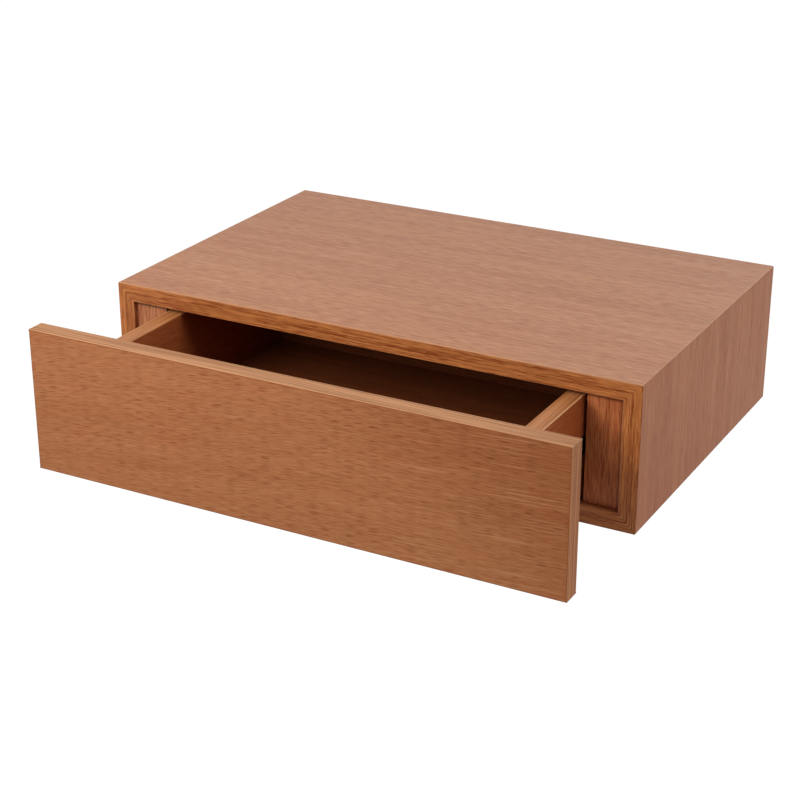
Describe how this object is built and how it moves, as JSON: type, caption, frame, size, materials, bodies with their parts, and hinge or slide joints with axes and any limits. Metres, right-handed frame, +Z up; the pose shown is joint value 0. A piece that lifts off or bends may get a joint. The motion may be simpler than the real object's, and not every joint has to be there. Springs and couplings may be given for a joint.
{
  "type": "floating nightstand",
  "caption": "Wall-hung nightstand: a mitred veneered box with one drawer without a handle, shown part open, on concealed ball-bearing runners.",
  "frame": {"origin": "middle of the wall rail's back face, on the wall plane", "axes": "+Z up, +X to the right along the front, +Y into the wall; the front and the drawer face -Y"},
  "size_m": [0.5, 0.449, 0.13],
  "materials": {
    "top_veneer": "satin clear-lacquered beech veneer, pinkish tan, straight grain from left to right",
    "side_veneer": "satin clear-lacquered beech veneer, pinkish tan, upright grain",
    "edging": "satin lacquered beech edging strip, orange brown, grain along the strip",
    "filler": "satin lacquered beech, upright grain with short dark flecks",
    "front_veneer": "satin lacquered beech veneer, grain from left to right with short dark flecks",
    "front_edge": "satin lacquered light beech banding with fine lines along it",
    "drawer_wood": "satin lacquered brown beech veneer",
    "panel_back": "plain thin board, raw",
    "plywood": "raw beech plywood with its plies showing on the edges",
    "dowel": "raw beech",
    "black_steel": "black coated sheet steel, semi-gloss",
    "bright_steel": "bright zinc-plated steel"
  },
  "bodies": {
    "carcass": {"top_panel": "top_veneer", "bottom_panel": "top_veneer", "left_side_panel": "side_veneer", "right_side_panel": "side_veneer", "top_front_edging": "edging", "bottom_front_edging": "edging", "left_front_edging": "edging", "right_front_edging": "edging", "left_filler": "filler", "right_filler": "filler", "left_runner_panel": "drawer_wood", "right_runner_panel": "drawer_wood", "back_panel": "panel_back", "hanging_rail": "plywood", "left_rail_dowel_1": "dowel", "left_rail_dowel_2": "dowel", "right_rail_dowel_1": "dowel", "right_rail_dowel_2": "dowel", "wall_rail": "plywood", "left_runner_inner_rail": "black_steel", "right_runner_inner_rail": "black_steel", "left_inner_rail_screw_1": "bright_steel", "left_inner_rail_screw_2": "bright_steel", "right_inner_rail_screw_1": "bright_steel", "right_inner_rail_screw_2": "bright_steel"},
    "drawer": {"left_runner_outer_rail": "black_steel", "right_runner_outer_rail": "black_steel", "left_outer_rail_screw_1": "bright_steel", "left_outer_rail_screw_2": "bright_steel", "right_outer_rail_screw_1": "bright_steel", "right_outer_rail_screw_2": "bright_steel", "left_drawer_side": "drawer_wood", "right_drawer_side": "drawer_wood", "left_drawer_side_edging": "front_edge", "right_drawer_side_edging": "front_edge", "drawer_box_front": "drawer_wood", "drawer_box_back": "drawer_wood", "drawer_bottom": "drawer_wood", "left_front_drawer_dowel_1": "dowel", "left_front_drawer_dowel_2": "dowel", "left_back_drawer_dowel_1": "dowel", "left_back_drawer_dowel_2": "dowel", "right_front_drawer_dowel_1": "dowel", "right_front_drawer_dowel_2": "dowel", "right_back_drawer_dowel_1": "dowel", "right_back_drawer_dowel_2": "dowel", "drawer_front": "front_veneer", "drawer_front_bottom_edging": "front_edge", "drawer_front_top_edging": "front_edge", "drawer_front_left_edging": "front_edge", "drawer_front_right_edging": "front_edge", "front_fixing_screw_1": "bright_steel", "front_fixing_screw_2": "bright_steel", "front_fixing_screw_3": "bright_steel", "front_fixing_screw_4": "bright_steel"},
    "left_ball_cage": {"left_runner_ball_cage": "bright_steel"},
    "right_ball_cage": {"right_runner_ball_cage": "bright_steel"}
  },
  "joints": [
    {"name": "drawer_slide", "type": "slide", "parent": "carcass", "child": "drawer", "axis": [0, -1, 0], "range_m": [-0.109, 0.096]},
    {"name": "left_cage_roll", "type": "slide", "parent": "carcass", "child": "left_ball_cage", "axis": [0, -1, 0], "range_m": [-0.0545, 0.048]},
    {"name": "right_cage_roll", "type": "slide", "parent": "carcass", "child": "right_ball_cage", "axis": [0, -1, 0], "range_m": [-0.0545, 0.048]}
  ],
  "couplings": [
    {"joint": "left_cage_roll", "follows": "drawer_slide", "ratio": 0.5},
    {"joint": "right_cage_roll", "follows": "drawer_slide", "ratio": 0.5}
  ]
}
